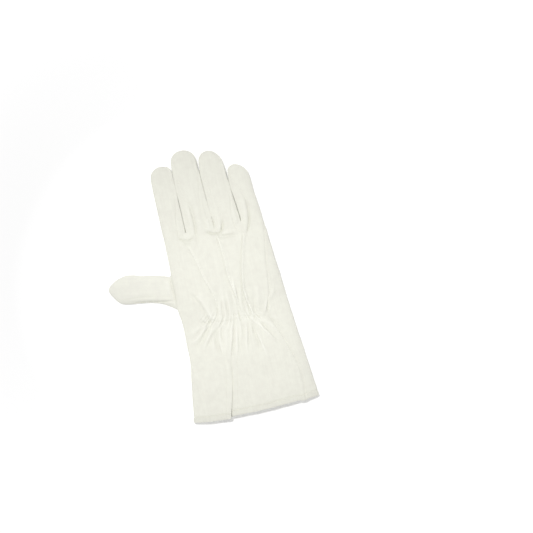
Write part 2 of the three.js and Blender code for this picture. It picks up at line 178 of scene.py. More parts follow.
FINGERS = {
    "index": [
        (50, -55.4, -34.2, 9, 0.2), (84, -56.9, -32.9, 9, 0.2), (108, -56.9, -32.9, 8.8, 0.2),
        (118, -56.9, -32.5, 8.8, 0.2), (132, -56.8, -32.6, 8.8, 0.2),
        (142, -56.1, -32.7, 8.6, 0.3), (147, -54.7, -33, 8.2, 0.4),
        (150.4, -51.4, -35.4, 7.2, 0.8), (152.2, -47.6, -40, 5.4, 1.6),
        (152.8, -45.6, -42.6, 4, 2.4),
    ],
    "middle": [
        (50, -29.8, -2.4, 9, 0.2), (80, -31.4, -2.2, 9.4, 0.2), (92, -31.4, -3, 9.4, 0.2),
        (108, -31.6, -3.7, 9.3, 0.2), (118, -32.2, -4.2, 9.2, 0.2), (145, -32.2, -5.2, 9, 0.2),
        (153, -32, -5.2, 8.8, 0.3), (158.6, -30.6, -6.8, 8, 0.5), (162.4, -27.2, -10.6, 6.8, 1),
        (164.3, -23, -15, 5, 1.8), (164.6, -20, -18, 3.8, 2.4),
    ],
    "ring": [
        (50, -2.2, 25.2, 9, 0.2), (80, -1.6, 26, 9.4, 0.2), (92, -2, 25, 9.4, 0.2),
        (106, -2.8, 23.5, 9.2, 0.2), (122, -3.4, 22.6, 9, 0.2), (138, -3.7, 22.4, 8.8, 0.2),
        (147, -3.4, 21.2, 8.6, 0.3), (153.4, -1.8, 17.6, 7.6, 0.6), (157.3, 1.8, 13, 5.8, 1.4),
        (158.6, 6, 9, 4, 2.2),
    ],
    "little": [
        (50, 28.8, 49.6, 8.6, 0.2), (78, 28.2, 50.1, 8.8, 0.2), (92, 27, 48.9, 8.6, 0.2),
        (108, 25.2, 47.2, 8.4, 0.2), (120, 24.2, 46.6, 8.2, 0.2), (127, 24, 45.9, 8, 0.3),
        (133, 24.2, 42.6, 7.4, 0.6), (137.2, 26.6, 37.8, 5.8, 1.2), (139, 31, 33.6, 4, 2.2),
    ],
}
FINGER_FORM = Form(around=64, side=0.46, crown=3.2, flat=0.6)
PARTING = {"index": -3.6, "middle": -1.2, "ring": 1.2, "little": 3.6}
PARTED_OVER = (68.0, 80.0)  # y from which they are parted, and from which fully


def ease(value, start, end):
    """From 0 at the start to 1 at the end, smoothly."""
    share = np.clip((value - start) / (end - start), 0, 1)
    return share**2 * (3 - 2 * share)


for finger, sections in FINGERS.items():
    parting = PARTING[finger]
    add_tube(tubes, sections, FINGER_FORM, shift=lambda y: parting * ease(y, *PARTED_OVER))


# The set-in thumb
#
# A tube of the same jersey, closed with a round tip and sewn in at the edge of the hand.
# It lies flat and is given along itself, from the middle of its base to its tip.

THUMB_BASE = (-57.0, 26.0)
THUMB_ANGLE = math.radians(79.0)
THUMB_SECTIONS = [
    (-17, -18, 6, 4.6, 0.2), (-8, -24, 9.6, 4.8, 0.2), (-1, -22.4, 11, 5.6, 0.2),
    (5, -19.8, 12, 6.8, 0.2), (12, -17, 12.8, 7.8, 0.2), (22, -15.4, 13.4, 8.6, 0.2),
    (34, -15.6, 13.4, 8.8, 0.2), (44, -16.4, 14.4, 8.8, 0.2), (52, -16.4, 13.4, 8.6, 0.3),
    (58, -14.2, 10.6, 7.8, 0.5), (63.5, -9, 6.6, 6.4, 1), (67.2, -4.6, 2.4, 4.8, 1.8),
    (68.4, -2.4, 0.2, 3.8, 2.4),
]
add_tube(tubes, THUMB_SECTIONS, FINGER_FORM, THUMB_BASE, THUMB_ANGLE)


# The cloth as one skin
#
# The pieces are of one jersey and join without a step. So their forms are fused into one
# skin, which gets its slots, seams and folds before it is cut into the pieces.

SKIN_VOXEL = 1.25
SKIN_RELAXED = 3


def add_mesh_object(name, bm):
    mesh = bpy.data.meshes.new(name)
    bm.to_mesh(mesh)
    bm.free()
    return add_object(name, mesh)


def fused_skin(bm, voxel):
    """One even skin round everything in a bmesh."""
    holder = add_mesh_object("skin", bm)
    mesh = holder.data
    remesh = holder.modifiers.new("skin", "REMESH")
    remesh.mode = "VOXEL"
    remesh.voxel_size = voxel
    evaluated = holder.evaluated_get(bpy.context.evaluated_depsgraph_get())
    skin = bmesh.new()
    skin.from_mesh(evaluated.to_mesh())
    evaluated.to_mesh_clear()
    bpy.data.objects.remove(holder)
    bpy.data.meshes.remove(mesh)
    return skin


def positions(bm):
    return np.array([vert.co for vert in bm.verts])


def set_positions(bm, co):
    for vert, place in zip(bm.verts, co):
        vert.co = place
    bm.normal_update()
    bm.verts.index_update()


def relax(bm, verts, times):
    """Evens out a part of a skin, as soft cloth evens out by itself."""
    for _ in range(times):
        bmesh.ops.smooth_vert(
            bm, verts=verts, factor=0.5, use_axis_x=True, use_axis_y=True, use_axis_z=True
        )


glove = fused_skin(tubes, SKIN_VOXEL)
relax(glove, glove.verts, SKIN_RELAXED)


# The slots between the fingers
#
# Two neighbouring fingers are sewn to the same strip and lie close together. A thin dark
# slot shows from the fork up, and nearer the tips the fingers press against each other.

# y, and where the slots beside the index, the middle and the ring finger run
GAPS = np.array([
    (70, -32, -1.6, 27.2), (84, -32.1, -2, 26.8), (96, -32.1, -2.6, 25.8),
    (110, -32.3, -3.5, 24.2), (124, -32.4, -4, 23.3), (138, -32.5, -4.4, 23.2),
    (170, -32.6, -4.8, 23.2),
])
# y, and how far the sides of the fingers stand apart
SLOTS = np.array([
    (80, 0.24, 0.05, 0.37), (90, 0.24, 0.05, 0.44), (104, 0.2, 0.05, 0.36),
    (114, 0.13, 0.05, 0.18), (124, 0.05, 0.1, 0.1), (136, 0.04, 0.2, 0.08),
    (146, 0.04, 0.25, 0.08),
])
# y, and how much of the depth between the fingers is left where they press together
VALLEYS = np.array([
    (76, 0.3, 0.12, 0.3), (82, 0.33, 0.1, 0.5), (90, 0.37, 0.1, 0.54), (100, 0.37, 0.16, 0.5),
    (110, 0.33, 0.3, 0.33), (118, 0.22, 0.32, 0.27), (130, 0.18, 0.34, 0.26),
    (136, 0.17, 0.4, 0.28), (143, 0.18, 0.38, 0.6), (150, 0.32, 0.5, 1), (156, 1, 1, 1),
])
COLUMNS = (1, 2, 3)
STEP_REACH = 1.1
THUMB_STAYS = (-75.0, -62.0)  # what lies left of the first place isn't moved
SLOT_FROM = 82.0
SLOT_ENDS = (151.0, 148.0, 134.0)  # above these heights the fingertips round off
SLOT_OPENS, SLOT_CLOSES = 4.0, 12.0  # lengths over which a slot opens and closes
SLOT_PINCH = 0.85  # share of its width that a slot loses near the floor
SIDE_LOW, SIDE_HIGH = 2.4, 5.6  # the fingers' sides touch at these heights
SIDE_WIDTH = 6.0  # from a slot to the fold along the finger's side
SIDE_REACH = 8.0
LEVEL_STEP, LEVEL_HALF = 2.0, 1.5  # where the fingers' sides are measured
VALLEY_TOP = 8.6
VALLEY_FROM = (72.0, 80.0)
VALLEY_FLOOR = (2.2, 3.6)
VALLEY_REACH = (1.5, 4.5)


def look_up(table, at, column):
    return np.interp(at, table[:, 0], table[:, column])


def close_fingers(co):
    """Moves the parted fingers back beside each other, in place."""
    x, y, z = co.T
    parted = ease(y, *PARTED_OVER)
    apart = np.array(list(PARTING.values()))
    shift = np.full(len(x), apart[0])
    for column in COLUMNS:
        middle = (apart[column - 1] + apart[column]) / 2
        gap = look_up(GAPS, y, column) + middle * parted
        step = apart[column] - apart[column - 1]
        shift += step * ease(x, gap - STEP_REACH, gap + STEP_REACH)
    on_fingers = ease(x, *THUMB_STAYS)
    x -= shift * parted * on_fingers
    for column in COLUMNS:
        for side in (-1, 1):
            beside = side * (x - look_up(GAPS, y, column))
            flank = (beside > 0) & (beside < SIDE_WIDTH) & (z > SIDE_LOW) & (z < SIDE_HIGH)
            levels = np.arange(SLOT_FROM, y[flank].max(), LEVEL_STEP)
            bands = [flank & (np.abs(y - level) < LEVEL_HALF) for level in levels]
            reach = np.interp(y, levels, [beside[band].min() for band in bands])
            low = 1 - ease(z, SIDE_LOW - 0.6, SIDE_LOW + 1.4)
            slot = look_up(SLOTS, y, column) * (1 - SLOT_PINCH * low)
            end = SLOT_ENDS[column - 1]
            move = (reach - slot / 2) * ease(y, SLOT_FROM - SLOT_OPENS, SLOT_FROM)
            move *= 1 - ease(y, end - SLOT_CLOSES, end)
            move *= 1 - ease(beside - reach, 0.0, SIDE_REACH)
            x -= np.where(beside > 0, side * move, 0.0) * on_fingers
        beside = np.abs(x - look_up(GAPS, y, column))
        fill = (1 - look_up(VALLEYS, y, column)) * ease(z, *VALLEY_FLOOR)
        fill = fill * (1 - ease(beside, *VALLEY_REACH))
        fill *= ease(y, *VALLEY_FROM)
        z += np.maximum(VALLEY_TOP - z, 0.0) * fill


def bell(distance, width):
    """1 on a line, falling softly to nothing at about twice the width from it."""
    return np.exp(-((distance / width) ** 2))


co = positions(glove)
close_fingers(co)
set_positions(glove, co)

# Where a slot ends, the cloth between the two fingers is drawn smooth, and then narrow
# again by these shares.
SLOT_FOOT = (73.0, 85.0)
FOOT_REACH = 3.4
FOOT_RELAXED = 10
FOOT_PULLS = (0.72, 0.94, 0.72)
PULL_FROM, PULL_TO = (72.0, 77.0), (83.0, 90.0)
PULL_FLOOR = (1.0, 3.0)
PULL_REACH = 2.2
x, y, z = co.T
for column in COLUMNS:
    beside = np.abs(x - look_up(GAPS, y, column))
    foot = (y > SLOT_FOOT[0]) & (y < SLOT_FOOT[1]) & (z > SIDE_LOW) & (beside < FOOT_REACH)
    drawn = [vert for vert, inside in zip(glove.verts, foot) if inside]
    relax(glove, drawn, FOOT_RELAXED)
co = positions(glove)
x, y, z = co.T
for column, pull in zip(COLUMNS, FOOT_PULLS):
    beside = x - look_up(GAPS, y, column)
    near = ease(y, *PULL_FROM) * (1 - ease(y, *PULL_TO)) * ease(z, *PULL_FLOOR)
    x -= beside * pull * near * bell(beside, PULL_REACH)
set_positions(glove, co)


# The slit in the back of the cuff
#
# The cuff is slit from the hem up, so that a hand gets through the gathered wrist. The
# jersey is turned in and stitched down along both edges. The flap on the thumb's side
# lies over the other, and above the slit the cloth is folded along the same line.

SLIT_LINE = [
    (-3, -24), (-11.4, -51), (-14.5, -62), (-16.6, -72), (-18.6, -82),
    (-20.6, -92), (-22.6, -101), (-24.4, -109), (-26.4, -118), (-29, -130),
]
SLIT_TOP = -62.0
# y, how far the flaps stand apart, and half the step between them
SLIT_GAP = np.array([
    (-130, 1.9, 1), (-118, 1, 0.9), (-110, 0.2, 0.85), (-98, -1, 0.75), (-85, -1.6, 0.5),
    (-72, -1.2, 0.36), (-62, -0.2, 0.08),
])
FLAP_REACH = 13.0
SLIT_FADE = 8.0
BACK_FROM = 5.0  # the back of the hand lies above this height
ON_LINE = 1e-3


def on_back(co):
    return co[:, 2] > BACK_FROM


def line_distance(line, co):
    """Distance to a line, negative right of it, and the share and length of the line."""
    x, y = co[:, 0], co[:, 1]
    nearest = np.full(len(x), np.inf)
    along = np.zeros(len(x))
    side = np.ones(len(x))
    run = 0.0
    for (ax, ay), (bx, by) in zip(line[:-1], line[1:]):
        length = math.hypot(bx - ax, by - ay)
        ux, uy = (bx - ax) / length, (by - ay) / length
        reach = np.clip((x - ax) * ux + (y - ay) * uy, 0, length)
        away = np.hypot(x - ax - reach * ux, y - ay - reach * uy)
        closer = away < nearest
        nearest = np.where(closer, away, nearest)
        along = np.where(closer, run + reach, along)
        cross = ux * (y - ay) - uy * (x - ax)
        side = np.where(closer, np.where(cross < 0, -1.0, 1.0), side)
        run += length
    return nearest * side, along / run, run


def cut_along(bm, distance, level=0.0, where=None):
    """Adds edges to the skin where a distance has a given value."""
    co = positions(bm)
    value = distance(co) - level
    value[np.abs(value) < ON_LINE] = ON_LINE
    allowed = np.ones(len(co), bool) if where is None else where(co)
    bm.verts.index_update()
    crossing = []
    for edge in bm.edges:
        a, b = edge.verts[0].index, edge.verts[1].index
        if value[a] * value[b] < 0 and allowed[a] and allowed[b]:
            crossing.append((edge, edge.verts[0], value[a] / (value[a] - value[b])))
    new_verts = [bmesh.utils.edge_split(edge, vert, share)[1] for edge, vert, share in crossing]
    bmesh.ops.connect_verts(bm, verts=new_verts)
    return new_verts


SLIT = smooth_rows(SLIT_LINE, ROW_STEP)


def slit_distance(co):
    """Distance to the slit, negative on the thumb's side of it."""
    return line_distance(SLIT, co)[0]


above_slit = SLIT_LINE[0][1] + 1
slit_verts = cut_along(glove, slit_distance, 0.0, lambda co: on_back(co) & (co[:, 1] < above_slit))
below_top = {vert for vert in slit_verts if vert.co.y < SLIT_TOP}
slit_edges = [edge for edge in glove.edges if below_top.issuperset(edge.verts)]
bmesh.ops.split_edges(glove, edges=slit_edges)
co = positions(glove)
middles = co.copy()
for vert in glove.verts:
    if vert.is_boundary:
        faces = vert.link_faces
        middle = sum((face.calc_center_median() for face in faces), Vector())
        middles[vert.index] = middle / len(faces)
x, y, z = co.T
flap = np.sign(slit_distance(middles))
near = 1 - ease(np.abs(slit_distance(co)), 0.0, FLAP_REACH)
near *= 1 - ease(y, SLIT_TOP - SLIT_FADE, SLIT_TOP)
near *= ease(z, BACK_FROM - 2.0, BACK_FROM + 2.0)
x += flap * near * look_up(SLIT_GAP, y, 1) / 2
z -= flap * near * look_up(SLIT_GAP, y, 2)
set_positions(glove, co)


# The seams of the strips between the fingers
#
# A narrow strip of the same jersey, a fourchette, is sewn in between two neighbouring
# fingers. It shows as a rounded tab round the fork and runs out along the slot. Its
# turned seams show as grooves between two soft swells.

# y, the seams' places left and right of the fork
FOURCHETTE_SEAMS = {
    "index_middle": [
        (68.8, -33, -31.4), (71.4, -37.4, -27.4), (75.5, -40.2, -22.6), (84, -40.2, -21.4),
        (95, -38.6, -21.6), (107, -36.4, -23.4), (118, -35, -25.4), (130, -33.8, -28.6),
        (141, -32.8, -31.6),
    ],
    "middle_ring": [
        (71.6, -2, 2.8), (73.6, -8.8, 5), (79, -9.8, 7.2), (88, -10.6, 8.2), (98, -10.8, 6.8),
        (108, -10.2, 4.4), (120, -8.8, 0.8), (132, -6.6, -2), (144, -5, -3.6),
    ],
    "ring_little": [
        (66.2, 28.6, 30.6), (69, 23.6, 32.6), (73.5, 20, 34.6), (83, 19.2, 36.8), (94, 20, 37.4),
        (104, 21.2, 35.6), (114, 22, 32), (124, 22.6, 27.2), (133, 22.9, 23.8),
    ],
}
OUTLINE_STEP = 1.5


def outline_distance(outline, co):
    """Distance to a closed outline, negative inside it."""
    x, y = co[:, 0], co[:, 1]
    closed = np.vstack([outline, outline[:1]])
    away = np.abs(line_distance(closed, co)[0])
    inside = np.zeros(len(x), bool)
    for (ax, ay), (bx, by) in zip(closed[:-1], closed[1:]):
        if ay != by:
            crosses = (ay > y) != (by > y)
            inside ^= crosses & (x < ax + (y - ay) * (bx - ax) / (by - ay))
    return np.where(inside, -away, away)


def fourchette_distance(seams):
    """Gives the distance to the seam round a strip, negative inside it."""
    rows = smooth_rows(seams, OUTLINE_STEP)
    outline = np.vstack([rows[:, [1, 0]], rows[::-1, [2, 0]]])
    return lambda co: outline_distance(outline, co)


STRIPS = {name: fourchette_distance(seams) for name, seams in FOURCHETTE_SEAMS.items()}


# The seam of the thumb
#
# On the back the thumb comes out from under the edge of the hand piece. On the palm it
# runs on as a rounded tongue, let in with the same turned seam.

THUMB_FOLD = [
    (-56.8, 60), (-57, 36), (-57.4, 28), (-57.2, 18), (-57.8, 8), (-57.6, 0), (-56, -12),
]
THUMB_SEAM_LOW = -3.0
THUMB_TONGUE = [
    (-66, 38), (-56, 38), (-46, 35), (-37, 26), (-32, 14), (-33, 2), (-40, -8), (-49, -10),
    (-57, -3), (-66, -3),
]
UNDERSIDE = 3.2  # the palm and the lower side of the fingers lie below this height
TONGUE = smooth_rows(THUMB_TONGUE, OUTLINE_STEP)


def thumb_distance(co):
    x, y, z = co.T
    fold = np.interp(-y, [-p[1] for p in THUMB_FOLD], [p[0] for p in THUMB_FOLD])
    beside = np.maximum(x - fold, THUMB_SEAM_LOW - y)
    tongue = outline_distance(TONGUE, co)
    return np.where(z < UNDERSIDE, np.minimum(beside, tongue), beside)


# The turned hem
#
# The jersey is turned in once along the cuff, 6 mm deep, and stitched down, so the hem
# stands a little proud of the single cloth. The slit parts it on the back.

# x, the palm's edge, the edge of the flap on the thumb's side, and of the other flap
CUFF_EDGE = np.array([
    (-80, -114.6, -114.6, -114.6), (-66, -117, -117, -117), (-50, -119.2, -119.4, -119.2),
    (-40, -119.6, -120, -119.2), (-28, -119.6, -120.8, -118.8), (-10, -119.2, -121, -118.8),
    (0, -119.2, -121, -119.2), (20, -118.9, -121, -118.7), (46, -117.8, -121, -117.5),
    (49, -118.6, -121, -118.6), (53, -118.6, -121, -118.8), (55, -117.8, -121, -117.6),
    (66, -117.2, -121, -117), (80, -116.4, -121, -116.2),
])
HEM_DEPTH = 6.0
HEM_EXTRA = 0.5  # thickness that the second layer adds
HEM_STEP = 0.9
EDGE_ROUND = 1.0
BACK_OVER = 3.0
CUFF_TO = -105.0


def edge_distance(co):
    """How far the cloth lies above the cuff's edge."""
    x, y, z = co.T
    palm, over, under = (look_up(CUFF_EDGE, x, column) for column in (1, 2, 3))
    back = np.where(slit_distance(co) < 0, over, under)
    share = ease(z, UNDERSIDE, UNDERSIDE + BACK_OVER)
    return y - (palm + (back - palm) * share)


def near_cuff(co):
    return co[:, 1] < CUFF_TO


# Every seam is cut into the skin as lines of edges, where the pieces end and dip.
SEAM_HALF_WIDTH = 1.0
SEAMS = [thumb_distance, *STRIPS.values()]
for seam in SEAMS:
    for level in (-SEAM_HALF_WIDTH, 0.0, SEAM_HALF_WIDTH):
        cut_along(glove, seam, level)
for level in (HEM_DEPTH + HEM_STEP, HEM_DEPTH, HEM_DEPTH - HEM_STEP, EDGE_ROUND, 0.0):
    cut_along(glove, edge_distance, level, near_cuff)


# The folds of the back
#
# The soft jersey falls into folds that run from the gathered wrist over the hand and into
# the cuff and pull across the forks.

# height of each fold, below 0 where it is sunk, its width and its line
FOLDS = [
    # above the gathers
    (-1, 1.9, [(-45, 21), (-40, 13.5), (-34, 4), (-31.4, -4), (-29.6, -12), (-28, -22)]),
    (0.95, 2.7, [(-36, 15), (-31, 4), (-27.4, -5), (-24.4, -12), (-21, -20)]),
    (0.49, 1.1, [(-27, -8), (-24.6, -12.6), (-21.6, -18)]),
    (-0.6, 1.3, [(-30, -10), (-28.4, -15), (-26.4, -21)]),
    (-0.47, 1.8, [(-38, -12), (-35, -16.4), (-33, -20)]),
    (-0.55, 1.5, [(-38, -15), (-35, -17), (-32, -18)]),
    (-0.53, 1.1, [(-15, 5), (-16.4, -4), (-18, -12), (-19.4, -20)]),
    (0.66, 1.3, [(-12.6, 8), (-13.6, -4), (-15.6, -13), (-17, -20)]),
    (-0.47, 1, [(-10.6, 4), (-11.6, -6), (-12.4, -14), (-13.4, -21)]),
    (0.75, 1.6, [(-8.4, 22), (-8.6, 6), (-9.6, -6), (-10.4, -21)]),
    (-0.47, 1, [(-6, 6), (-6.4, -5), (-6.8, -13), (-7, -20)]),
    (0.66, 1.2, [(-3.8, 14), (-4, 0), (-4, -9), (-3.4, -18)]),
    (-0.53, 1, [(-0.6, 13), (0, 0), (0, -10)]),
    (0.75, 1.2, [(2.2, 20), (2.2, 4), (2.4, -13)]),
    (-0.4, 1.2, [(-3, -11), (-1.4, -15), (1.6, -16.4), (4.4, -15), (6, -12)]),
    (1.05, 1.3, [(6, 26), (5.2, 12), (4.8, 0), (4.4, -10)]),
    (-0.36, 1.1, [(8, 14), (7, 2), (6.4, -8)]),
    (0.58, 1.2, [(9.6, 12), (9, -2), (8.8, -16)]),
    (-0.53, 1, [(11.4, 2), (11, -8), (11.2, -18)]),
    (0.75, 1.2, [(16.6, 9), (14.8, -2), (13.6, -12), (13, -22)]),
    (0.91, 1.2, [(16, -7), (17.8, -12), (18, -18), (17, -28)]),
    (-0.67, 1.7, [(23, 1), (22, -7), (21, -15), (21.4, -23)]),
    (0.8, 2.5, [(28.8, 14), (27.4, 0), (25.6, -10), (24, -19)]),
    (-0.33, 1.6, [(29.6, -8), (28.4, -15), (27, -21)]),
    (0.66, 1.2, [(36, -6), (33.6, -13), (31, -21)]),
    (-0.45, 1.2, [(38, -8), (36, -12.4), (32.6, -20), (27.4, -29)]),
    (0.49, 1.2, [(38.6, -12), (36.4, -17), (35, -21)]),
    (0.66, 1.7, [(45.4, 3), (42.6, -3), (40, -8)]),
    (-0.27, 2, [(50, 4), (45, -2), (41, -10), (38, -13)]),
    (0.9, 5, [(-35, 16), (-29.5, 4), (-25, -6), (-20, -16)]),
    # below the gathers
    (-1.6, 2, [(-23, -13), (-30, -22.2), (-36, -30), (-40, -34.6), (-45.4, -39.4), (-51, -45)]),
    (0.9, 1.6, [(-29, -16), (-37, -26), (-42, -30), (-47.5, -33.6), (-54, -38)]),
    (-0.6, 1.7, [(-35, -21), (-40.4, -26), (-46, -30), (-53, -32)]),
    (0.49, 1.7, [(-38, -19), (-44, -23.4), (-51, -26)]),
    (0.95, 1.9, [(-24, -20), (-29.6, -29.4), (-35.6, -38), (-42, -47)]),
    (-0.8, 1.8, [
        (-18, -22), (-22.8, -28.4), (-28, -33), (-31.6, -36.4), (-36, -43.4), (-40, -50),
    ]),
    (0.6, 1.6, [(-26, -30), (-29, -40), (-30, -52)]),
    (-0.95, 1.5, [(-22, -26), (-25.2, -36), (-25, -43), (-23.8, -50), (-23, -59)]),
    (0.85, 1.5, [(-18.4, -24), (-20.4, -34), (-21.4, -46), (-20.6, -60)]),
    (-0.6, 1.1, [(-15, -18), (-16.6, -26), (-18.6, -34), (-18.8, -44)]),
    (0.85, 2.2, [(-12, -20), (-13.6, -34), (-16, -48), (-18, -62)]),
    (-0.7, 1.1, [(-2.4, -18), (-4.6, -30), (-7.8, -42), (-10.8, -52), (-14, -64)]),
    (-0.55, 1.1, [(-6, -34), (-11.2, -51), (-14.4, -62), (-16.6, -72), (-18.8, -83), (-21, -94)]),
    (0.8, 1.2, [(-5.4, -20), (-7.6, -34), (-10.6, -45), (-13.2, -54), (-16, -64)]),
    (1.08, 1.3, [(-0.4, -22), (-2.6, -35), (-6, -52), (-9.6, -66)]),
    (-0.22, 1.1, [(1.6, -24), (-0.6, -36), (-4, -52), (-6.6, -62)]),
    (0.58, 1.2, [(3.4, -23), (1.6, -34), (-1, -46)]),
    (-0.47, 1, [(5.6, -24), (4.4, -34), (2.6, -44)]),
    (1, 1.3, [(9.4, -24), (7.6, -37), (4.8, -52), (3, -66)]),
    (-0.62, 1.2, [(11.8, -20), (10, -35), (7, -47), (4.6, -57), (3, -66)]),
    (0.49, 1.2, [(13.6, -24), (12.8, -34), (12, -44)]),
    (-1.15, 1.6, [(14.6, -24), (16.2, -38), (17.6, -50), (17.6, -64)]),
    (0.95, 1.1, [(16.6, -32), (18.8, -42), (21.2, -51.4), (23, -60), (24, -70)]),
    (1.55, 1.5, [(19, -22), (23, -30), (27.2, -37.4), (32, -44.4), (38, -55)]),
    (-1.1, 1.4, [(21.6, -24), (26, -32), (31, -40.6), (36, -49.6), (40.4, -60)]),
    (1, 2, [(24, -22), (31, -30), (37, -36.4), (43, -44)]),
    (-0.6, 1.5, [(31, -23), (37.4, -30), (43, -36), (50, -44)]),
    (0.41, 1.9, [(34, -23), (43, -29), (50, -34)]),
    # soft dents in the cuff
    (-0.8, 4.5, [(-64, -58), (-52, -58.5), (-38, -56)]),
    (-0.6, 3.5, [(-62, -66), (-50, -66), (-38, -61)]),
    (0.4, 5, [(-58, -84), (-40, -86), (-26, -84)]),
    (-0.4, 5, [(4, -80), (22, -84), (44, -82)]),
    (-0.4, 4, [(-60, -100), (-44, -101), (-28, -99)]),
    # at the forks and across the knuckles
    (-1.6, 1.8, [(-3, 67.8), (6, 67), (12, 66.4), (24, 66)]),
    (0.5, 2, [(0, 71), (10, 70.6), (18, 70)]),
    (0.5, 1.6, [(-36.5, 100), (-37, 88), (-36, 76)]),
    (-1.25, 1.3, [(-42, 76), (-36, 71.5), (-30, 70.6), (-22, 74)]),
    (0.5, 1.6, [(-35, 78), (-31, 75.5), (-27, 76)]),
    (-1.1, 1.5, [(-40, 70), (-33, 67), (-24, 66)]),
    (-1.5, 1.5, [(-23, 118), (-21, 102), (-20.6, 86), (-21.6, 72), (-23, 56)]),
    (0.6, 1.6, [(-25, 108), (-25, 92), (-26, 78)]),
    (-0.5, 1.6, [(-11.5, 108), (-12, 92), (-11, 76)]),
    (0.7, 1.6, [(-7, 90), (-6.5, 82), (-6, 76)]),
    (0.7, 1.6, [(4.5, 90), (4, 82), (3.5, 75)]),
    (-0.7, 1.1, [(-1.6, 92), (-1.2, 82), (-1.5, 72)]),
    (-1.4, 1.3, [(-14, 75.6), (-6, 72.8), (0, 71), (7, 69.6)]),
    (-1.5, 1.5, [(-1, 68.6), (4, 72), (6.8, 76.4), (8.4, 86)]),
    (0.8, 1.8, [(-9, 80), (-7, 77), (-4, 76)]),
    (0.7, 1.8, [(1, 75.5), (3.5, 76.5), (5, 80)]),
    (0.6, 1.6, [(21.5, 96), (22, 84), (23, 74)]),
    (-0.9, 1.4, [(35.5, 110), (37.3, 95), (36.4, 82), (33, 70), (29, 58)]),
    (-0.6, 1.3, [(37, 90), (36, 80), (33.4, 71), (30.6, 64), (28, 58)]),
    (0.7, 1.8, [(32, 104), (33.5, 92), (32, 80), (30, 72)]),
    # where the thumb comes out from under the hand
    (-0.8, 0.9, [(-58.6, 42), (-58.2, 30), (-58, 20), (-58.6, 11), (-59, 3)]),
    (0.9, 2, [(-62.6, 38), (-62, 30), (-62.5, 16)]),
    (-2, 1, [(-108, 20.6), (-98, 19), (-88, 17.2), (-78, 15.4), (-68, 13.4), (-54, 12)]),
    (-1.3, 2.4, [(-76, 12), (-68, 9), (-61, 5.6), (-57, 2)]),
    (-0.4, 1, [(-110, 24), (-98, 24), (-86, 22.8), (-70, 20)]),
]
FOLD_STEP = 4.0
FOLD_FULL = (0.3, 0.6)  # the shares of its length between which a fold is full
# Colour that stands in for light: painted shade in the creases of the folds and painted highlight
# on their ridges.
SHADE_HIGHLIGHT_STRENGTH = 0.61  # how much greyer creases look, and lighter ridges
PAINTED_SPREAD = 1.2
PAINTED_POWERS = (1.5, 1.0)  # of the width, for sunk folds and for raised ones


def fold_rise(co):
    """The height of all the folds, with painted shade in creases and painted highlight on ridges.
    """
    rise = np.zeros(len(co))
    shade_and_highlight = np.zeros(len(co))
    for height, width, line in FOLDS:
        away, share, _ = line_distance(smooth_rows(line, FOLD_STEP), co)
        taper = ease(share, 0.0, FOLD_FULL[0]) * (1 - ease(share, FOLD_FULL[1], 1.0))
        rise += height * bell(away, width) * taper
        # painted shade where a fold is sunk, painted highlight where it is raised
        tint = bell(away, PAINTED_SPREAD * width) * taper
        shade_and_highlight -= SHADE_HIGHLIGHT_STRENGTH * height * tint / width ** PAINTED_POWERS[height > 0]
    return rise, np.clip(shade_and_highlight, -1.0, 1.0)


# The gathered wrist
#
# A narrow elastic, sewn inside across the back of the wrist, draws the jersey into short
# close gathers. They fan out above and below its stitches, which pull the cloth down.

GATHER_LINE = (-20.0, -0.07)  # where the elastic crosses the middle, and its slope
GATHER_ENDS = (-35.0, 27.0)
GATHER_REACH = 7.5
# distance between creases, phase and height of the ripples that the elastic makes
RIPPLES = [(4.6, 0.4, 0.32), (3.1, 2.1, 0.28), (6.7, 4.0, 0.24)]
FAN, FAN_MIDDLE = 0.035, 2
PULL_DEPTH, PULL_HALF_WIDTH, PULL_WAVE = -0.40, 1.4, 4.7


def gather_rise(co):
    """The height of the gathers and of the stitches that pull them down."""
    x, y = co[:, 0], co[:, 1]
    across = ease(x, GATHER_ENDS[0] - 5, GATHER_ENDS[0] + 3)
    across *= 1 - ease(x, GATHER_ENDS[1] - 3, GATHER_ENDS[1] + 5)
    above = y - GATHER_LINE[0] - GATHER_LINE[1] * x
    bend = x + FAN * above * (x - FAN_MIDDLE)
    ripple = sum(
        high * (2 * np.abs(np.sin(np.pi * bend / wave + phase)) - 1)
        for wave, phase, high in RIPPLES
    )
    away = above - 1.4 * np.sin(x / 5.5) - 0.7 * np.sin(x / 2.1)  # the stitches waver
    pinch = 0.5 + 0.5 * np.sin(2 * np.pi * x / PULL_WAVE + 1.0)
    pull = PULL_DEPTH * pinch * bell(away, PULL_HALF_WIDTH)
    return across * (ripple * bell(away, GATHER_REACH) + pull)


# The three raised points
#
# The trim of a dress glove: the jersey is pinched into three narrow tucks from the forks
# to the wrist and stitched through. Each stands up steep on one side, with a groove at
# its foot, and slopes away on the other.

# height of each point, and its line from the knuckles to the wrist
POINTS = [
    (0.65, [(-33, 66), (-28, 49), (-23.7, 29), (-17.5, 8), (-16, -13.7)]),
    (1, [(-1, 71), (1.3, 45), (1.4, 25), (5, 3), (6, -12)]),
    (1.3, [(27, 65), (24, 55), (19.3, 38.7), (15.2, 18), (14, 5.5), (16, -8), (18.9, -21)]),
]
POINT_FOOT = 1.0
POINT_SLOPE = 2.8
POINT_TOP = (0.1, 0.4)
POINT_GROOVE, GROOVE_WIDTH = 0.45, 0.7
PUCKER_WAVE = 4.2  # from stitch to stitch the ridge swells a little
LINE_STEP = 3.0


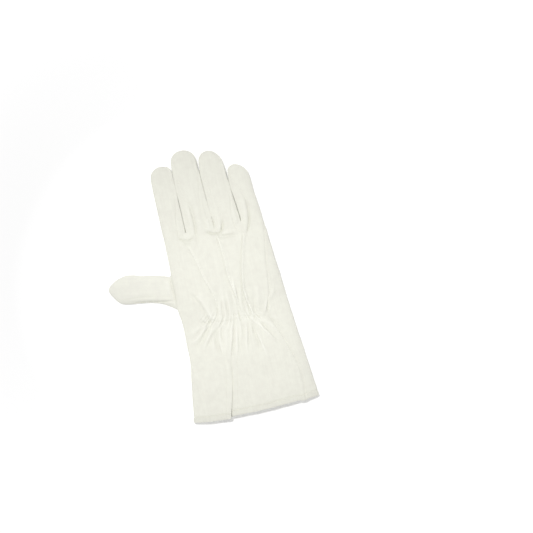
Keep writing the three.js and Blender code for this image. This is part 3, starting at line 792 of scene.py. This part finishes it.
def point_rise(co):
    """The height of the points, with painted shade in the groove at their foot and painted
    highlight on their ridge.
    """
    rise = np.zeros(len(co))
    shade_and_highlight = np.zeros(len(co))
    for height, line in POINTS:
        s, share, length = line_distance(smooth_rows(line, LINE_STEP), co)
        ridge = ease(s, -POINT_FOOT, POINT_TOP[0]) * (1 - ease(s, POINT_TOP[1], POINT_SLOPE))
        groove = POINT_GROOVE * height * bell(s + POINT_FOOT + 0.3, GROOVE_WIDTH)
        taper = ease(share, 0.0, 0.04) * (1 - ease(share, 0.85, 1.0))
        pucker = 0.85 + 0.15 * np.sin(2 * np.pi * share * length / PUCKER_WAVE)
        rise += (height * ridge - groove) * taper * pucker
        # painted shade in the groove, painted highlight on the ridge
        shade_and_highlight += (1.3 * groove - 0.45 * ridge) * taper * pucker
    return rise, shade_and_highlight


CRISP_REACH = 4.0


def crisp(line, levels):
    """Adds edges along the foot and top of a raised or sunk line on the back."""
    rows = smooth_rows(line, LINE_STEP)

    def beside(co):
        return line_distance(rows, co)[0]

    def near(co):
        return (np.abs(beside(co)) < CRISP_REACH) & on_back(co)

    for level in levels:
        cut_along(glove, beside, level, near)


for _, line in POINTS:
    crisp(line, (-1.4, -0.9, 0.0, 0.9))


# The side seam
#
# The folded hand piece is closed down the little finger's side, and the turned seam comes
# round onto the back: a groove with a soft ridge on either side.

SIDE_SEAM = [
    (50.6, 78), (50, 72), (48, 58), (45, 40), (43, 25), (41.5, 10), (40, 0), (36, -11),
    (34, -21), (38, -33), (45, -52), (49, -65), (52, -75), (54, -90), (54.5, -103),
    (53.5, -113), (53, -124),
]
SEAM_RIDGES = ((0.35, -1.5, 1.4), (0.15, 1.5, 1.0))  # height, place and width of each
SEAM_GROOVE = (0.45, 0.8)  # depth and width
SEAM_PUCKER_WAVE = 4.6


def side_seam_rise(co):
    s, share, length = line_distance(smooth_rows(SIDE_SEAM, LINE_STEP), co)
    pucker = 0.8 + 0.2 * np.sin(2 * np.pi * share * length / SEAM_PUCKER_WAVE)
    ridge = sum(height * bell(s - place, width) for height, place, width in SEAM_RIDGES)
    groove = SEAM_GROOVE[0] * bell(s, SEAM_GROOVE[1])
    return ease(share, 0.0, 0.02) * (ridge * pucker - groove)


crisp(SIDE_SEAM, (-0.9, 0.0, 0.9))


# The relief of the cloth
#
# Folds, gathers, points and seams are raised and sunk on the skin together, with the
# slight unevenness of soft jersey that lies slack.

# Edges that the cuts left too short to shade well are closed up.
SHORTEST_EDGE = 0.15
bmesh.ops.dissolve_degenerate(glove, dist=SHORTEST_EDGE, edges=glove.edges)

# The cloth of the back is made finer where it is gathered and at the forks.
FINE_ZONES = [(-70, 62, -66, 24), (-44, 42, 60, 104)]  # left, right, low and high end


def in_zone(co, zone):
    return zone[0] < co.x < zone[1] and zone[2] < co.y < zone[3] and co.z > BACK_FROM


for zone in FINE_ZONES:
    fine = [edge for edge in glove.edges if all(in_zone(vert.co, zone) for vert in edge.verts)]
    bmesh.ops.subdivide_edges(glove, edges=fine, cuts=1, use_grid_fill=True)
glove.normal_update()

# size across, size along and height of the cloth's own unevenness
WRINKLES = [(22.0, 22.0, 0.42), (9.0, 9.0, 0.2), (3.2, 26.0, 0.12), (3.4, 3.4, 0.06)]


def wrinkle_rise(co):
    rise = np.zeros(len(co))
    for across, along, height in WRINKLES:
        size = np.array([across, along, across])
        rise += height * np.array([noise.noise(place) for place in co / size])
    return rise


BACK_NORMAL = (0.15, 0.75)  # how far cloth faces up where the relief begins, and is full
WRINKLES_BELOW = 0.35  # share of the unevenness that the palm keeps
# painted highlight on the gathers' ridges and painted shade in their hollows
GATHER_SHADE_HIGHLIGHT = 0.7
co = positions(glove)
normals = np.array([vert.normal for vert in glove.verts])
back = ease(normals[:, 2], *BACK_NORMAL)
folds, fold_shade_highlight = fold_rise(co)
points, point_shade_highlight = point_rise(co)
gathers = gather_rise(co)
rise = folds + gathers + points + side_seam_rise(co)
# Painted shade in creases and painted highlight on ridges, from the folds, points and gathers, as
# one signed value.
painted_shade_highlight = np.clip(fold_shade_highlight + point_shade_highlight - GATHER_SHADE_HIGHLIGHT * gathers, -1.0, 1.0)
wrinkles = wrinkle_rise(co)
lift = back * rise + wrinkles * (WRINKLES_BELOW + (1 - WRINKLES_BELOW) * back)
co[:, 2] += lift

SEAM_DEPTH, SEAM_WIDTH = 0.22, 0.7
SWELL_HEIGHT, SWELL_PLACE, SWELL_WIDTH = 0.16, 1.6, 0.8
seam_dip = np.zeros(len(co))
flat = positions(glove)
pucker = 0.75 + 0.25 * np.sin(2 * np.pi * flat[:, 1] / 4.3 + flat[:, 0] / 3.0)
for seam in SEAMS:
    away = np.abs(seam(flat))
    seam_dip -= SEAM_DEPTH * bell(away, SEAM_WIDTH)
    seam_dip += SWELL_HEIGHT * pucker * bell(away - SWELL_PLACE, SWELL_WIDTH)

# The rows of stitches that hold down the turned edges of the slit sink in a little.
PLACKET_LINES = (-6.2, 5.6)
PLACKET_DEPTH, PLACKET_WIDTH = 0.3, 0.7
PLACKET_FADE = (-66.0, -50.0)
slit_away = slit_distance(flat)
placket = sum(bell(slit_away - place, PLACKET_WIDTH) for place in PLACKET_LINES)
placket *= back * (1 - ease(flat[:, 1], *PLACKET_FADE))
seam_dip -= PLACKET_DEPTH * placket

# The hem is thicker, drawn in along its stitches and rounded at the edge. The dip along its
# stitches gets painted shade.
STITCH_DIP, DIP_WIDTH = 0.32, 0.8
EDGE_DIP = 0.3
# painted shade in the dip along the hem's stitches
HEM_DIP_PAINTED_SHADE = 0.4
above = edge_distance(flat)
cuff = near_cuff(flat)
dip = bell(above - HEM_DEPTH, DIP_WIDTH)
band = HEM_EXTRA * (1 - ease(above, HEM_DEPTH - HEM_STEP, HEM_DEPTH))
band -= STITCH_DIP * dip
band -= EDGE_DIP * (1 - ease(above, 0.0, EDGE_ROUND))
painted_shade_highlight += np.where(cuff, HEM_DIP_PAINTED_SHADE * dip, 0.0)
seam_dip += np.where(cuff, band, 0.0)
co += normals * seam_dip[:, None]

LOWEST = 0.28  # leaves room for the stitches between the cloth and the floor
co[:, 2] = np.maximum(co[:, 2], LOWEST)
set_positions(glove, co)
# The painted shade and highlight are kept on the skin for the jersey's colour. Only the back gets
# them.
shade_and_highlight = glove.verts.layers.float.new("shade_and_highlight")
for vert, value in zip(glove.verts, painted_shade_highlight * back):
    vert[shade_and_highlight] = value


# The set-in thumb, cut from the skin
#
# Like every piece it ends on its seams and gets the thickness of its cloth inwards. The
# rows of loops of its jersey run along the thumb.

INNER_KEPT = 0.62  # of all the faces, once those of the inner face are joined up
SHARP = math.radians(55.0)


def keep_faces(bm, keep):
    """A copy of the part of a skin that the flags of its faces choose."""
    part = bm.copy()
    extra = [face for face, kept in zip(part.faces, keep) if not kept]
    bmesh.ops.delete(part, geom=extra, context="FACES")
    return part


def put_piece(name, bm, material, node=None, wall=None):
    """Adds a piece of the glove, which may take the place of a node."""
    for vert in bm.verts:
        vert.co = (vert.co + ZERO) / 1000.0
    piece = add_mesh_object(name, bm)
    if wall:
        solidify = piece.modifiers.new("cloth", "SOLIDIFY")
        solidify.thickness = wall / 1000.0
        solidify.offset = -1.0
        piece.vertex_groups.new(name="inner_face")
        solidify.shell_vertex_group = "inner_face"
        coarser = piece.modifiers.new("inner_face", "DECIMATE")
        coarser.vertex_group = "inner_face"
        coarser.ratio = INNER_KEPT
        evaluated = piece.evaluated_get(bpy.context.evaluated_depsgraph_get())
        piece.data = bpy.data.meshes.new_from_object(evaluated)
        piece.modifiers.clear()
    piece.data.shade_smooth()
    piece.data.set_sharp_from_angle(angle=SHARP)
    piece.data.materials.append(material)
    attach(piece, "root")
    if node:
        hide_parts(node)


def linear(code):
    """A colour's sRGB hex code as linear light."""
    values = [int(code[k : k + 2], 16) / 255 for k in (1, 3, 5)]
    return [v / 12.92 if v <= 0.04045 else ((v + 0.055) / 1.055) ** 2.4 for v in values] + [1]


def add_node(tree, kind, inputs=None, **settings):
    """A node with its settings, and its inputs set to values or linked to sockets."""
    node = tree.nodes.new(kind)
    for key, value in settings.items():
        setattr(node, key, value)
    for key, value in (inputs or {}).items():
        if isinstance(value, bpy.types.NodeSocket):
            tree.links.new(value, node.inputs[key])
        else:
            node.inputs[key].default_value = value
    return node


def new_material(name):
    material = bpy.data.materials.new(name)
    material.use_nodes = True
    return material, material.node_tree


def calculate(tree, operation, *values):
    inputs = dict(enumerate(values))
    return add_node(tree, "ShaderNodeMath", inputs, operation=operation).outputs[0]


def mix(tree, share, first, second):
    inputs = {0: share, 6: first, 7: second}
    return add_node(tree, "ShaderNodeMix", inputs, data_type="RGBA").outputs[2]


# Bleached cotton in a fine interlock knit: rows of loops that run along the hand, matt
# with a soft fuzz and a little streaky along the rows, with painted shade down in its
# creases and painted highlight on its ridges. The loops are 0.7 mm in the real cloth and
# drawn about twice as coarse, so that they show.
KNIT_ROW = 1.4  # millimetres
KNIT_LOOP = 1.2
LOOP_SHARE = 0.25  # of the single loops in the relief of the rows
STREAK_SHAPE = (0.45, 0.03, 0.45)  # per millimetre, long along the rows
STREAK_SHARE = 0.6
MOTTLE_SCALE, FUZZ_SCALE = 0.16, 1.6  # per millimetre
SHADE_RANGE = (0.5, 1.1)


def cotton_interlock(name, colour, shade, painted_shade_colour, painted_highlight_colour, turn=0.0):
    """The jersey in its own two colours, a colour for painted shade and one for painted highlight,
    with its rows of loops turned by an angle.
    """
    material, tree = new_material(name)
    tree.nodes.clear()
    place = add_node(tree, "ShaderNodeTexCoord").outputs["Object"]
    scale = (1000.0, 1000.0, 1000.0)  # into millimetres
    inputs = {"Vector": place, "Rotation": (0.0, 0.0, -turn), "Scale": scale}
    turned = add_node(tree, "ShaderNodeMapping", inputs).outputs[0]
    axes = add_node(tree, "ShaderNodeSeparateXYZ", {0: turned}).outputs
    row = calculate(tree, "DIVIDE", axes[0], KNIT_ROW)
    zigzag = calculate(tree, "PINGPONG", row, 0.5)
    loop = calculate(tree, "DIVIDE", axes[1], KNIT_LOOP)
    slant = calculate(tree, "ADD", loop, zigzag)
    wave = calculate(tree, "SINE", calculate(tree, "MULTIPLY", slant, 2 * math.pi))
    knit = calculate(tree, "MULTIPLY_ADD", wave, LOOP_SHARE, zigzag)
    inputs = {"Vector": turned, "Scale": STREAK_SHAPE}
    stretch = add_node(tree, "ShaderNodeMapping", inputs).outputs[0]
    streaks, mottle, fuzz = (
        add_node(
            tree, "ShaderNodeTexNoise", {"Vector": vector, "Scale": scale, "Detail": detail}
        ).outputs[0]
        for vector, scale, detail in (
            (stretch, 1.0, 3.0),
            (turned, MOTTLE_SCALE, 4.0),
            (turned, FUZZ_SCALE, 2.0),
        )
    )
    both = calculate(tree, "MULTIPLY_ADD", streaks, STREAK_SHARE, mottle)
    inputs = {"Value": both, "From Min": SHADE_RANGE[0], "From Max": SHADE_RANGE[1]}
    patches = add_node(tree, "ShaderNodeMapRange", inputs).outputs[0]
    cloth = mix(tree, patches, linear(shade), linear(colour))
    # Painted shade: the cloth turns to the shade colour where the attribute is above 0, in
    # creases. Painted highlight: it turns to the highlight colour where the attribute is below 0,
    # on ridges.
    depth = add_node(tree, "ShaderNodeAttribute", attribute_name="shade_and_highlight").outputs["Fac"]
    greyer = mix(tree, depth, cloth, linear(painted_shade_colour))
    height = calculate(tree, "MULTIPLY", depth, -1.0)
    tint = mix(tree, height, greyer, linear(painted_highlight_colour))
    # strength, depth in metres and pattern of the relief, from the coarse to the fine
    normal = None
    for strength, distance, pattern in (
        (0.25, 0.0004, mottle),
        (0.5, 0.0005, streaks),
        (0.35, 0.0002, fuzz),
        (0.5, 0.00025, knit),
    ):
        inputs = {"Strength": strength, "Distance": distance, "Height": pattern}
        if normal is not None:
            inputs["Normal"] = normal
        normal = add_node(tree, "ShaderNodeBump", inputs).outputs[0]
    inputs = {"Base Color": tint, "Normal": normal, "Roughness": 0.93}
    inputs.update({"Sheen Weight": 0.12, "Sheen Roughness": 0.6, "Specular IOR Level": 0.25})
    surface = add_node(tree, "ShaderNodeBsdfPrincipled", inputs)
    add_node(tree, "ShaderNodeOutputMaterial", {0: surface.outputs[0]})
    return material


centres = np.array([face.calc_center_median() for face in glove.faces])
on_thumb = thumb_distance(centres) < 0
# The thumb's jersey is a level lighter than the hand piece's: painted light that makes up for the
# shade it gets.
jersey = cotton_interlock(
    "cotton_interlock_thumb", "#e9e9de", "#e2e1d8", "#dbdbd0", "#f5f5ec", THUMB_ANGLE
)
put_piece("set_in_thumb", keep_faces(glove, on_thumb), jersey, "thumb", CLOTH)


# The turned hem, cut from the skin
#
# Two layers of the jersey, its colours a shade greyer than the single cloth: painted shade,
# as the hem slopes down to the floor. What lies below the edge of the cuff is left off.

above = edge_distance(centres)
low = near_cuff(centres)
in_hem = low & (above > 0) & (above < HEM_DEPTH)
outside = low & (above <= 0)
rest = ~on_thumb & ~in_hem & ~outside
jersey = cotton_interlock("cotton_interlock_hem", "#e4e4d9", "#dcdbd1", "#d5d5c9", "#eeeee4")
part = keep_faces(glove, in_hem)
put_piece("turned_hem", part, jersey, "cuff_hem", CLOTH + HEM_EXTRA)


# The strips between the fingers, cut from the skin
#
# Three fourchettes of the same jersey, one in each fork, run from the tab on the back
# through the slot to the palm. Their colours are a level greyer than the hand piece's:
# painted shade, where they lie down between the fingers.

jersey = cotton_interlock(
    "cotton_interlock_fourchettes", "#e7e7dc", "#e1e0d6", "#dadace", "#f1f1e8"
)
for fork, seam in STRIPS.items():
    inside = rest & (seam(centres) < 0)
    rest &= ~inside
    part = keep_faces(glove, inside)
    put_piece("strip_" + fork, part, jersey, "fourchette_" + fork, CLOTH)


# The hand piece, cut from the skin
#
# What is left of the jersey is one piece: the back and the palm with the faces of the
# fingers and the cuff.

jersey = cotton_interlock("cotton_interlock", "#e8e8dd", "#e1e0d6", "#dbdbd0", "#f5f5ec")
put_piece("back_and_palm", keep_faces(glove, rest), jersey, "hand_piece", CLOTH)


# The stitching
#
# White cotton thread, sewn by machine through all the layers. It shows as rows of short
# stitches along the points, seams, slit, gathers and hem, each pressed a little into
# the cloth.

THREAD = 0.42  # across
THREAD_HALVES = (THREAD / 2, THREAD / 2.6)  # half its width, and half its height
STITCH_LIFT = 0.02
HEM_STITCH_UP, HEM_STITCH_STEP = HEM_DEPTH - 1.0, 4.0


def hem_row(column, left, right):
    """The row of stitches along a part of the hem, by its column in the cuff's edge."""
    xs = np.arange(left, right, HEM_STITCH_STEP)
    return (2.4, 1.7, 0.0, list(zip(xs, look_up(CUFF_EDGE, xs, column) + HEM_STITCH_UP)))


SLIT_SIDE = [point for point in SLIT_LINE if -110 < point[1] < -50]
FORK_LINES = [
    [(-40.2, 84), (-40, 76), (-37.4, 71.4), (-33, 68.8), (-27.4, 71.4), (-22.6, 75.5),
     (-21.4, 84)],
    [(-10.4, 86), (-9.8, 78), (-8.6, 73.8), (-2, 71.8), (4.4, 73.4), (7.2, 79), (8.2, 88)],
    [(19.4, 84), (20, 74), (23.6, 69), (29.5, 66.4), (33.2, 70), (36, 79), (37.2, 88)],
]
THUMB_EDGE = [(-112, 25), (-104, 24.6), (-94, 23.6), (-84, 22), (-74, 20), (-62, 17.5)]
THUMB_BASE_LINE = [(-57.8, 34), (-57.6, 24), (-57.2, 14), (-57.8, 6)]
GATHER_STITCHES = [(-34, -17.8), (-20, -18.2), (0, -20.3), (18, -21), (28, -22)]
# pitch and length of the stitches, how far they lie beside a line, and the line
STITCH_ROWS = {
    "stitches_points": [(2.9, 1.5, -0.75, line) for _, line in POINTS],
    "stitches_side_seam": [(2.6, 1.5, -0.9, [p for p in SIDE_SEAM if p[1] > -114])],
    "stitches_slit": [
        (2.4, 1.7, 5.6, SLIT_SIDE + [(-25.8, -115.6)]),
        (2.4, 1.7, -6.2, SLIT_SIDE + [(-26.1, -117.0)]),
    ],
    "stitches_forks": [(2.2, 1.4, 0.5, line) for line in FORK_LINES]
    + [(3.2, 1.9, 0.0, [(-1.6, 89), (-1.0, 81), (-1.5, 73)])],
    "stitches_thumb": [(2.4, 1.5, 0.0, THUMB_EDGE), (2.4, 1.5, 1.2, THUMB_BASE_LINE)],
    "stitches_gathers": [(2.0, 1.2, 0.0, GATHER_STITCHES)],
    "stitches_hem": [hem_row(2, -64.0, -27.5), hem_row(3, -22.0, 66.0)],
}
# rows on the palm side
PALM_ROWS = {
    "stitches_hem": hem_row(1, -62.0, 64.0),
    "stitches_thumb": (2.4, 1.5, 0.0, [p for p in THUMB_TONGUE if p[0] > -60]),
}
SKIN = BVHTree.FromBMesh(glove)
FAR, AHEAD, TRACK_STEP = 30.0, 0.3, 0.4


def add_stitches(bm, row, from_above=True):
    """Lays one row of stitches on the cloth."""
    pitch, length, offset, line = row
    track = smooth_rows(line, TRACK_STEP)
    run = np.append(0.0, np.cumsum(np.linalg.norm(np.diff(track, axis=0), axis=1)))
    for place in np.arange(pitch / 2, run[-1], pitch):
        x, y = (np.interp(place, run, track[:, k]) for k in (0, 1))
        ahead = [np.interp(place + AHEAD, run, track[:, k]) for k in (0, 1)]
        along = Vector((ahead[0] - x, ahead[1] - y, 0.0))
        if along.length < 1e-6:
            continue
        along.normalize()
        beside = Vector((along.y, -along.x, 0.0)) * offset
        down = -1.0 if from_above else 1.0
        start = Vector((x, y, -FAR * down)) + beside
        spot, normal, _, _ = SKIN.ray_cast(start, Vector((0.0, 0.0, down)))
        if spot is None:
            continue
        along = (along - normal * along.dot(normal)).normalized()
        across = normal.cross(along)
        size = Matrix.Diagonal((length / 2, *THREAD_HALVES))
        turn = Matrix((along, across, normal)).transposed() @ size
        bmesh.ops.create_uvsphere(
            bm,
            u_segments=6,
            v_segments=4,
            radius=1.0,
            matrix=Matrix.Translation(spot + normal * STITCH_LIFT) @ turn.to_4x4(),
        )


# Bleached two-ply cotton thread: matt, with painted shade in a greyer band between its
# plies, which turn once in about 0.7 mm.
TWIST_SCALE = 900.0


def cotton_thread():
    material, tree = new_material("cotton_thread")
    surface = tree.nodes["Principled BSDF"]
    place = add_node(tree, "ShaderNodeTexCoord").outputs["Object"]
    twist = add_node(
        tree,
        "ShaderNodeTexWave",
        {"Vector": place, "Scale": TWIST_SCALE, "Distortion": 0.5},
        bands_direction="DIAGONAL",
    )
    # painted shade between the plies, in the darker bands of the twist
    tint = mix(tree, twist.outputs[1], linear("#dad9cd"), linear("#e3e2d6"))
    tree.links.new(tint, surface.inputs["Base Color"])
    surface.inputs["Roughness"].default_value = 0.85
    return material


COTTON_THREAD = cotton_thread()
for name, rows in STITCH_ROWS.items():
    bm = bmesh.new()
    for row in rows:
        add_stitches(bm, row)
    if name in PALM_ROWS:
        add_stitches(bm, PALM_ROWS[name], from_above=False)
    put_piece(name, bm, COTTON_THREAD)
glove.free()


# The studio
#
# A matt white floor that glows, in a white room that gives soft light from all sides. The
# glow is painted light, weaker near the glove. One soft spotlight beyond the fingertips
# gives the folds their shade.

FLOOR_HALF = 3.0
bm = bmesh.new()
bmesh.ops.create_grid(bm, x_segments=1, y_segments=1, size=FLOOR_HALF)
floor = add_mesh_object("floor", bm)

# An even white without gloss. Its glow is painted light: weak within 0.2 m of the middle,
# where the glove lies, and full beyond 0.36 m.
FLOOR_PAINTED_LIGHT = {"From Min": 0.2, "From Max": 0.36, "To Min": 0.12, "To Max": 0.45}
WHITE = linear("#ffffff")
white, tree = new_material("white_floor")
shader = tree.nodes["Principled BSDF"]
shader.inputs["Base Color"].default_value = WHITE
shader.inputs["Roughness"].default_value = 1.0
shader.inputs["Emission Color"].default_value = WHITE
spot = add_node(tree, "ShaderNodeTexCoord").outputs["Object"]
away = add_node(tree, "ShaderNodeVectorMath", {0: spot}, operation="LENGTH")
painted_floor_light = add_node(tree, "ShaderNodeMapRange", {"Value": away.outputs["Value"], **FLOOR_PAINTED_LIGHT})
tree.links.new(painted_floor_light.outputs[0], shader.inputs["Emission Strength"])
floor.data.materials.append(white)

ROOM_LIGHT = 0.6
LIGHT_PLACE = Vector((-0.2, 0.5, 2.0))
LIGHT_AIM = Vector((0.035, -0.03, 0.0))
bpy.context.scene.view_settings.view_transform = "Standard"
world = bpy.data.worlds.new("studio")
world.use_nodes = True
sky = world.node_tree.nodes["Background"]
sky.inputs["Color"].default_value = WHITE
sky.inputs["Strength"].default_value = ROOM_LIGHT
bpy.context.scene.world = world
light_data = bpy.data.lights.new("softbox", "SPOT")
light_data.shadow_soft_size = 0.15
light_data.spot_size = math.radians(19.0)
light_data.spot_blend = 1.0
light_data.energy = 103.0
light = add_object("softbox", light_data)
light.location = LIGHT_PLACE
light.rotation_euler = (LIGHT_AIM - LIGHT_PLACE).to_track_quat("-Z", "Y").to_euler()
